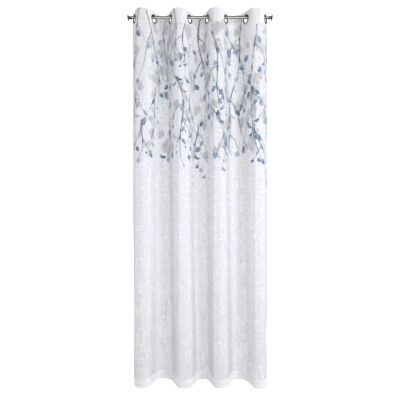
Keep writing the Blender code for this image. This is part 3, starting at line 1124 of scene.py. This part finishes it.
class CURTAIN_OT_voile_panel(bpy.types.Operator):
    """Hang the printed voile panel with its turned hems"""

    bl_idname = "curtain.voile_panel"
    bl_label = "Voile Panel"

    def execute(self, context):
        looks = cloth_looks()
        fittings = fitting_looks()
        marks = print_marks()
        flat, faces, owners = flat_sheet(
            0.0, CLOTH_WIDTH, 0.0, CLOTH_DROP, CLOTH_STEP_ACROSS, CLOTH_STEP_DOWN,
            EYELET_PLACES, marks,
        )
        middle = CLOTH_THICK / 2
        room = hang(flat[:, 0], flat[:, 1], middle)
        normals = cloth_normals(flat[:, 0], flat[:, 1])
        bake = np.stack(self.baked(flat[:, 0], flat[:, 1]), 1)
        quads = [tuple(face) for face in faces]

        # The hems are the same cloth turned to the back.
        hem, side = fittings.hem, fittings.side_hem
        line = CLOTH_DROP - hem

        def hem_bake(u, v):
            return BAKE_MARGIN + BAKED * u / CLOTH_WIDTH, HEM_STRIP * (v - line) / hem

        def side_bake(left, shift):
            return lambda u, v: (shift + SIDE_STRIP * (u - left) / side, 1 - BAKED * v / CLOTH_DROP)

        turned = [(even(side, CLOTH_WIDTH - side, 0.0075), even(line, CLOTH_DROP, 0.012), hem_bake)]
        for left, shift in ((0.0, 0.0), (CLOTH_WIDTH - side, 1 - SIDE_STRIP)):
            across = even(left, left + side, side / 2)
            down = even(0.0, CLOTH_DROP, CLOTH_STEP_DOWN)
            turned.append((across, down, side_bake(left, shift)))
        for across, down, spread_out in turned:
            part_flat, part_room, part_faces = strip(across, down, middle + 0.0008)
            base = len(flat)
            flat = np.concatenate((flat, part_flat))
            room = np.concatenate((room, part_room))
            normals = np.concatenate((normals, cloth_normals(part_flat[:, 0], part_flat[:, 1])))
            place = np.stack(spread_out(part_flat[:, 0], part_flat[:, 1]), 1)
            bake = np.concatenate((bake, place))
            quads += [tuple(base + corner for corner in face) for face in part_faces]
            owners = np.concatenate((owners, np.full(len(part_faces), -1)))

        data = new_mesh("voile_panel", room, quads)
        if len(data.polygons) != len(quads):
            raise RuntimeError("the voile panel lost faces while it was made")
        set_uv(data, "Flat", corner_points(data, flat))
        set_uv(data, "OFBake", corner_points(data, bake))
        self.paint(data, flat, owners, marks, looks)
        data.normals_split_custom_set_from_vertices(normals.tolist())
        matter = cloth_material("printed_voile", looks, looks.cover, True)
        placed("voile_panel", data, matter, ("curtain_panel",))
        return {"FINISHED"}

    @staticmethod
    def baked(across, down):
        """Where the flat panel lies on the bake sheet."""
        return BAKE_MARGIN + BAKED * across / CLOTH_WIDTH, 1 - BAKED * down / CLOTH_DROP

    @staticmethod
    def paint(data, flat, owners, marks, looks):
        """Writes each face's ink and its place in its mark to the mesh's corners."""
        totals = np.empty(len(data.polygons), np.int32)
        data.polygons.foreach_get("loop_total", totals)
        owner = np.repeat(owners, totals)
        places = corner_points(data, flat)
        ink = np.ones((len(owner), 4))
        ink[:, 3] = 0.0
        mark_values = np.zeros((len(owner), 3))
        for index, mark in enumerate(marks):
            chosen = np.nonzero(owner == index)[0]
            if not len(chosen):
                continue
            along, rim = mark.place(places[chosen])
            fade = 1 - rim**4 if mark.tint == "wash" else 1.0
            ink[chosen, :3] = getattr(looks, mark.tint)[:]
            ink[chosen, 3] = mark.strength * fade
            mark_values[chosen] = np.stack((along, rim, np.full(len(chosen), mark.tone)), 1)
        set_corners(data, "ink", "FLOAT_COLOR", ink)
        set_corners(data, "mark", "FLOAT_VECTOR", mark_values)


class CURTAIN_OT_heading(bpy.types.Operator):
    """Sew the doubled heading behind the top of the panel"""

    bl_idname = "curtain.heading"
    bl_label = "Heading"

    def execute(self, context):
        looks = cloth_looks()
        flat, faces, _ = flat_sheet(
            TAPE_INSET, CLOTH_WIDTH - TAPE_INSET, 0.002, HEADING, 0.0062, 0.006, EYELET_PLACES, []
        )
        off = CLOTH_THICK + GAP + TAPE_THICK / 2
        room = hang(flat[:, 0], flat[:, 1], off)
        data = new_mesh("heading_band", room, faces)
        set_uv(data, "Flat", corner_points(data, flat))
        bake = np.stack((flat[:, 0] / CLOTH_WIDTH, 1 - flat[:, 1] / HEADING), 1)
        set_uv(data, "OFBake", corner_points(data, np.clip(bake, 0.0, 1.0)))
        data.normals_split_custom_set_from_vertices(cloth_normals(flat[:, 0], flat[:, 1]).tolist())
        matter = cloth_material("heading_cloth", looks, looks.heading_cover, False)
        placed("heading_band", data, matter, ("heading_tape",))
        return {"FINISHED"}


class CURTAIN_OT_stitching(bpy.types.Operator):
    """Sew the stitch lines of the heading and the hems"""

    bl_idname = "curtain.stitching"
    bl_label = "Stitching"

    def execute(self, context):
        fittings = fitting_looks()
        looks = cloth_looks()
        pitch = fittings.stitch_pitch
        edge = fittings.side_hem - 0.0015
        starts = []
        for down in (0.006, HEADING - 0.003, CLOTH_DROP - fittings.hem + 0.002):
            places = np.arange(edge, CLOTH_WIDTH - edge, pitch)
            starts.append(np.stack((places, np.full(len(places), down)), 1))
        level = np.concatenate(starts)
        starts = []
        for across in (edge, CLOTH_WIDTH - edge):
            places = np.arange(0.008, CLOTH_DROP - 0.004, pitch)
            starts.append(np.stack((np.full(len(places), across), places), 1))
        upright = np.concatenate(starts)
        points, faces = [], []
        for flat, step in ((level, (1, 0)), (upright, (0, 1))):
            for off, sign in ((0.0004, -1), (CLOTH_THICK + 0.0003, 1)):
                self.sew(flat, step, off, sign, pitch * 0.72, points, faces)
        data = new_mesh("stitching", np.concatenate(points), np.concatenate(faces))
        placed("stitching", data, thread_material(looks), ())
        return {"FINISHED"}

    @staticmethod
    def sew(flat, step, off, sign, length, points, faces):
        """Adds one small round bead of thread for each stitch in the line."""
        ahead = np.array(step, float) * length
        side = np.array((step[1], step[0]), float) * 0.00028
        middle = flat + ahead / 2
        rings = [hang(flat[:, 0], flat[:, 1], off)]
        for share in (0.25, 0.75):
            spot = flat + ahead * share
            for turn in range(6):
                angle = turn * math.pi / 3
                place = spot + side * math.cos(angle)
                rings.append(hang(place[:, 0], place[:, 1], off + sign * 0.00022 * math.sin(angle)))
        end = flat + ahead
        rings.append(hang(end[:, 0], end[:, 1], off))
        block = np.stack(rings, axis=1)
        base = sum(len(part) for part in points)
        first = base + np.arange(len(middle))[:, None] * 14
        pattern = []
        for k in range(6):
            n = (k + 1) % 6
            pattern.append((0, 1 + k, 1 + n))
            pattern.append((1 + k, 7 + k, 7 + n))
            pattern.append((1 + k, 7 + n, 1 + n))
            pattern.append((7 + k, 13, 7 + n))
        pattern = np.array(pattern)
        points.append(block.reshape(-1, 3))
        faces.append((first[:, :, None] + pattern[None, :, :]).reshape(-1, 3))


def eyelet_put(place):
    """Turns (across, down, back) at one eyelet into a point in the room."""
    spots = hang(np.full(2, place), np.full(2, EYELET_DOWN), np.array((0.0, 0.001)))
    centre = spots[0]
    back = (spots[1] - spots[0]) / 0.001

    def put(across, down, off):
        return (
            centre[0] + back[1] * across + back[0] * off,
            centre[1] - back[0] * across + back[1] * off,
            centre[2] - down,
        )

    return put


def arc(centre, radius, first, last, count):
    """(radius, along) points on a small arc of a turned profile, angles in degrees."""
    return [
        (
            centre[0] + radius * math.cos(math.radians(first + (last - first) * k / count)),
            centre[1] + radius * math.sin(math.radians(first + (last - first) * k / count)),
        )
        for k in range(count + 1)
    ]


class CURTAIN_OT_eyelets(bpy.types.Operator):
    """Press the two-part metal eyelets into the heading"""

    bl_idname = "curtain.eyelets"
    bl_label = "Eyelets"

    def execute(self, context):
        fittings = fitting_looks()
        # Painted shade: the eyelets get the darkened nickel colour.
        matter = metal_material("eyelet_nickel", fittings.ring, fittings.worn, 0.26, 0.8)
        stack = 3 * GAP + CLOTH_THICK + TAPE_THICK
        outside = BORE_RADIUS + BARREL_WALL
        back_face = stack - GAP
        face = -GAP - FLANGE_THICK
        lip = 0.0016
        front = arc((BORE_RADIUS + lip, face + lip), lip, 180, 270, 6)
        front += [(BORE_RADIUS + 0.0045, face + 0.00012)]
        front += arc((RING_RADIUS - 0.0017, face + 0.0017), 0.0017, -80, 0, 6)
        front += [(RING_RADIUS, -GAP), (outside, -GAP)]
        front += [(outside, back_face + 0.0012), (BORE_RADIUS + 0.0003, back_face + 0.0014)]
        front += [(BORE_RADIUS, back_face + 0.0010)]
        inner = outside + GAP
        top = back_face + 0.0016
        back = [(inner, back_face), (RING_RADIUS, back_face)]
        back += arc((RING_RADIUS - 0.0011, top - 0.0011), 0.0011, 0, 85, 5)
        back += arc((inner + 0.0006, top - 0.0006), 0.0006, 95, 180, 4)
        for index, place in enumerate(EYELET_PLACES, 1):
            put = eyelet_put(place)
            for side, profile in (("front", front), ("back", back)):
                node = f"eyelet_{side}_{index}"
                data = turned_mesh(f"{node}_ring", profile, 64, put)
                placed(f"{node}_ring", data, matter, (node,))
        return {"FINISHED"}


class CURTAIN_OT_rod(bpy.types.Operator):
    """Finish the rod in satin nickel"""

    bl_idname = "curtain.rod"
    bl_label = "Rod"

    def execute(self, context):
        fittings = fitting_looks()
        matter = metal_material("rod_nickel", fittings.nickel, fittings.worn, 0.24, 1.0)
        middle = (ROD_LEFT + ROD_RIGHT) / 2
        half = (ROD_RIGHT - ROD_LEFT) / 2
        bore = ROD_RADIUS - ROD_WALL
        edge = 0.0003
        profile = (
            (ROD_RADIUS, -half + edge),
            (ROD_RADIUS, -half * 0.34),
            (ROD_RADIUS, half - edge),
            (ROD_RADIUS - edge, half),
            (bore, half),
            (bore, -half),
            (ROD_RADIUS - edge, -half),
        )
        data = turned_mesh("rod_tube", profile, 72, lambda a, b, along: (middle + along, a, b))
        placed("rod_tube", data, matter, ("rod",))
        return {"FINISHED"}


class CURTAIN_OT_finials(bpy.types.Operator):
    """Turn the two flared finials"""

    bl_idname = "curtain.finials"
    bl_label = "Finials"

    def execute(self, context):
        fittings = fitting_looks()
        # Painted reflection: the finials get the darkened nickel colour in place of reflected dark
        # surroundings.
        matter = metal_material("finial_pewter", fittings.pewter, fittings.worn, 0.30, 1.0)
        spigot = ROD_RADIUS - ROD_WALL - GAP
        profile = [(0.0, -0.015), (spigot - 0.001, -0.015), (spigot, -0.014), (spigot, GAP)]
        profile += arc((0.0120, 0.0012), 0.0010, -90, 0, 4)
        profile += [(0.0130, 0.0030)]
        profile += arc((0.0120, 0.0038), 0.0010, 0, 90, 4)
        flare = (
            (0.0100, 0.0056), (0.0092, 0.0070), (0.0089, 0.0090), (0.0092, 0.0115),
            (0.0102, 0.0140), (0.0120, 0.0164), (0.0144, 0.0184), (0.0172, 0.0200),
            (0.0194, 0.0208), (0.0196, 0.0211), (0.0193, 0.0214), (0.0199, 0.0216),
        )
        profile += flare
        profile += arc((0.0198, 0.0230), 0.0012, -70, 70, 6)
        for k in range(1, 9):
            part = k / 8
            profile.append((0.0200 * (1 - part), 0.0242 + 0.0033 * math.sin(part * math.pi / 2)))
        profile[-1] = (0.0, 0.0275)
        places = {
            "left": lambda a, b, along: (ROD_LEFT - along, a, b),
            "right": lambda a, b, along: (ROD_RIGHT + along, a, b),
        }
        for side, put in places.items():
            data = turned_mesh(f"finial_{side}_knob", profile, 72, put)
            placed(f"finial_{side}_knob", data, matter, (f"finial_{side}",))
        return {"FINISHED"}


class CURTAIN_OT_declare(bpy.types.Operator):
    """A step that does nothing; no sheet is declared here"""

    bl_idname = "curtain.declare"
    bl_label = "Declare Sheets"

    def execute(self, context):
        return {"FINISHED"}


# The studio's lamps stand in a ring round the curtain; the key sets the rest.
LAMP_DISTANCE = 3.6
LAMP_AIM = -1.15
STRIP_WIDTH = 0.8
FRONT_WIDTH = 3.2
KEY_WATTS = 68.0


class CURTAIN_OT_stage(bpy.types.Operator):
    """Set the pale floor, the soft lights and the camera"""

    bl_idname = "curtain.stage"
    bl_label = "Stage"

    def execute(self, context):
        self.floor()
        self.lights(context.scene)
        self.camera(context.scene)
        return {"FINISHED"}

    @staticmethod
    def floor():
        """A pale floor that sweeps up into a backdrop well behind the curtain."""
        low, back, radius = -2.50, 3.0, 0.9
        line = [(-5.0, low), (back - radius, low)]
        for k in range(1, 13):
            angle = math.radians(90 * k / 12)
            rise = low + radius * (1 - math.cos(angle))
            line.append((back - radius + radius * math.sin(angle), rise))
        line.append((back, 4.5))
        points, faces = [], []
        for index, (y, z) in enumerate(line):
            points += [(-7.0, y, z), (7.0, y, z)]
            if index:
                first = 2 * index - 2
                faces.append((first, first + 1, first + 3, first + 2))
        data = new_mesh("pale_floor", points, faces)
        made, tree, output = new_material("pale_floor")
        place = add(tree, "ShaderNodeTexCoord").outputs["Object"]
        tone = ramp(tree, noise(tree, place, 3.0, 2.0), 0.3, 0.7, 0.93, 0.95)
        colour = add(tree, "ShaderNodeCombineColor", {"Red": tone, "Green": tone, "Blue": tone})
        seen = add(tree, "ShaderNodeLightPath").outputs["Is Camera Ray"]
        body = add(
            tree,
            "ShaderNodeBsdfPrincipled",
            {
                "Base Color": colour.outputs[0],
                "Roughness": 0.9,
                "Emission Color": (1.0, 1.0, 1.0, 1.0),
                "Emission Strength": seen,
            },
        )
        tree.links.new(body.outputs[0], output.inputs["Surface"])
        data.materials.append(made)
        floor = bpy.data.objects.new("pale_floor", data)
        bpy.context.scene.collection.objects.link(floor)
        floor.visible_glossy = False

    @staticmethod
    def lights(scene):
        soft, cool, warm = (1.0, 1.0, 1.0), (0.97, 0.985, 1.0), (1.0, 0.97, 1.0)
        for name, angle, height, share, tall, colour in (
            # name, degrees round from the front, height, share of the key, height of strip
            ("key_right", 45, -0.1, 1.0, 2.6, cool),
            ("side_right", 75, -0.1, 0.5, 2.6, cool),
            ("fill_left", -75, -0.1, 0.4, 2.6, warm),
            ("back_left", -120, -0.5, 0.5, 2.6, soft),
            ("back_right", 120, -0.5, 0.35, 2.6, soft),
            ("front_soft", 0, -0.9, 0.6, 3.2, soft),
        ):
            data = bpy.data.lights.new(name, "AREA")
            data.shape = "RECTANGLE"
            data.size = FRONT_WIDTH if angle == 0 else STRIP_WIDTH
            data.size_y = tall
            data.energy = KEY_WATTS * share
            data.color = colour
            lamp = bpy.data.objects.new(name, data)
            turn = math.radians(angle)
            spot = Vector((math.sin(turn), -math.cos(turn), 0.0)) * LAMP_DISTANCE
            lamp.location = (spot.x, spot.y, height)
            aimed = Vector((0.0, 0.0, LAMP_AIM)) - lamp.location
            lamp.rotation_euler = aimed.to_track_quat("-Z", "Y").to_euler()
            scene.collection.objects.link(lamp)
        world = bpy.data.worlds.new("studio")
        scene.world = world
        world.use_nodes = True
        ground = world.node_tree.nodes["Background"]
        ground.inputs["Color"].default_value = (1.0, 0.99, 1.0, 1.0)
        ground.inputs["Strength"].default_value = 0.21
        world.cycles_visibility.glossy = False
        scene.view_settings.view_transform = "Standard"
        scene.view_settings.look = "None"

    @staticmethod
    def camera(scene):
        data = bpy.data.cameras.new("view")
        data.sensor_width = 36.0
        data.lens = 31.5
        data.shift_y = -0.035
        view = bpy.data.objects.new("view", data)
        view.location = (-0.0045, -2.35, -1.1296)
        view.rotation_euler = (math.radians(90), 0.0, 0.0)
        scene.collection.objects.link(view)
        scene.camera = view


class CURTAIN_PT_sidebar(bpy.types.Panel):
    """The curtain's looks and the steps that build it"""

    bl_label = "Sheer Eyelet Curtain"
    bl_idname = "CURTAIN_PT_sidebar"
    bl_space_type = "VIEW_3D"
    bl_region_type = "UI"
    bl_category = "Curtain"

    def draw(self, context):
        layout = self.layout
        for looks in (context.scene.curtain_cloth, context.scene.curtain_fittings):
            column = layout.column(align=True)
            for name in looks.bl_rna.properties.keys():
                if name not in ("rna_type", "name"):
                    column.prop(looks, name)
        for operator in STEPS:
            layout.operator(operator.bl_idname)


STEPS = (
    CURTAIN_OT_voile_panel,
    CURTAIN_OT_heading,
    CURTAIN_OT_stitching,
    CURTAIN_OT_eyelets,
    CURTAIN_OT_rod,
    CURTAIN_OT_finials,
    CURTAIN_OT_declare,
    CURTAIN_OT_stage,
)
CLASSES = (ClothLooks, FittingLooks) + STEPS + (CURTAIN_PT_sidebar,)


def register():
    for kind in CLASSES:
        bpy.utils.register_class(kind)
    bpy.types.Scene.curtain_cloth = bpy.props.PointerProperty(type=ClothLooks)
    bpy.types.Scene.curtain_fittings = bpy.props.PointerProperty(type=FittingLooks)


def unregister():
    del bpy.types.Scene.curtain_cloth
    del bpy.types.Scene.curtain_fittings
    for kind in reversed(CLASSES):
        bpy.utils.unregister_class(kind)


def main():
    register()
    for operator in STEPS:
        area, name = operator.bl_idname.split(".")
        getattr(getattr(bpy.ops, area), name)()
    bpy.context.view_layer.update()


if __name__ == "__main__":
    main()
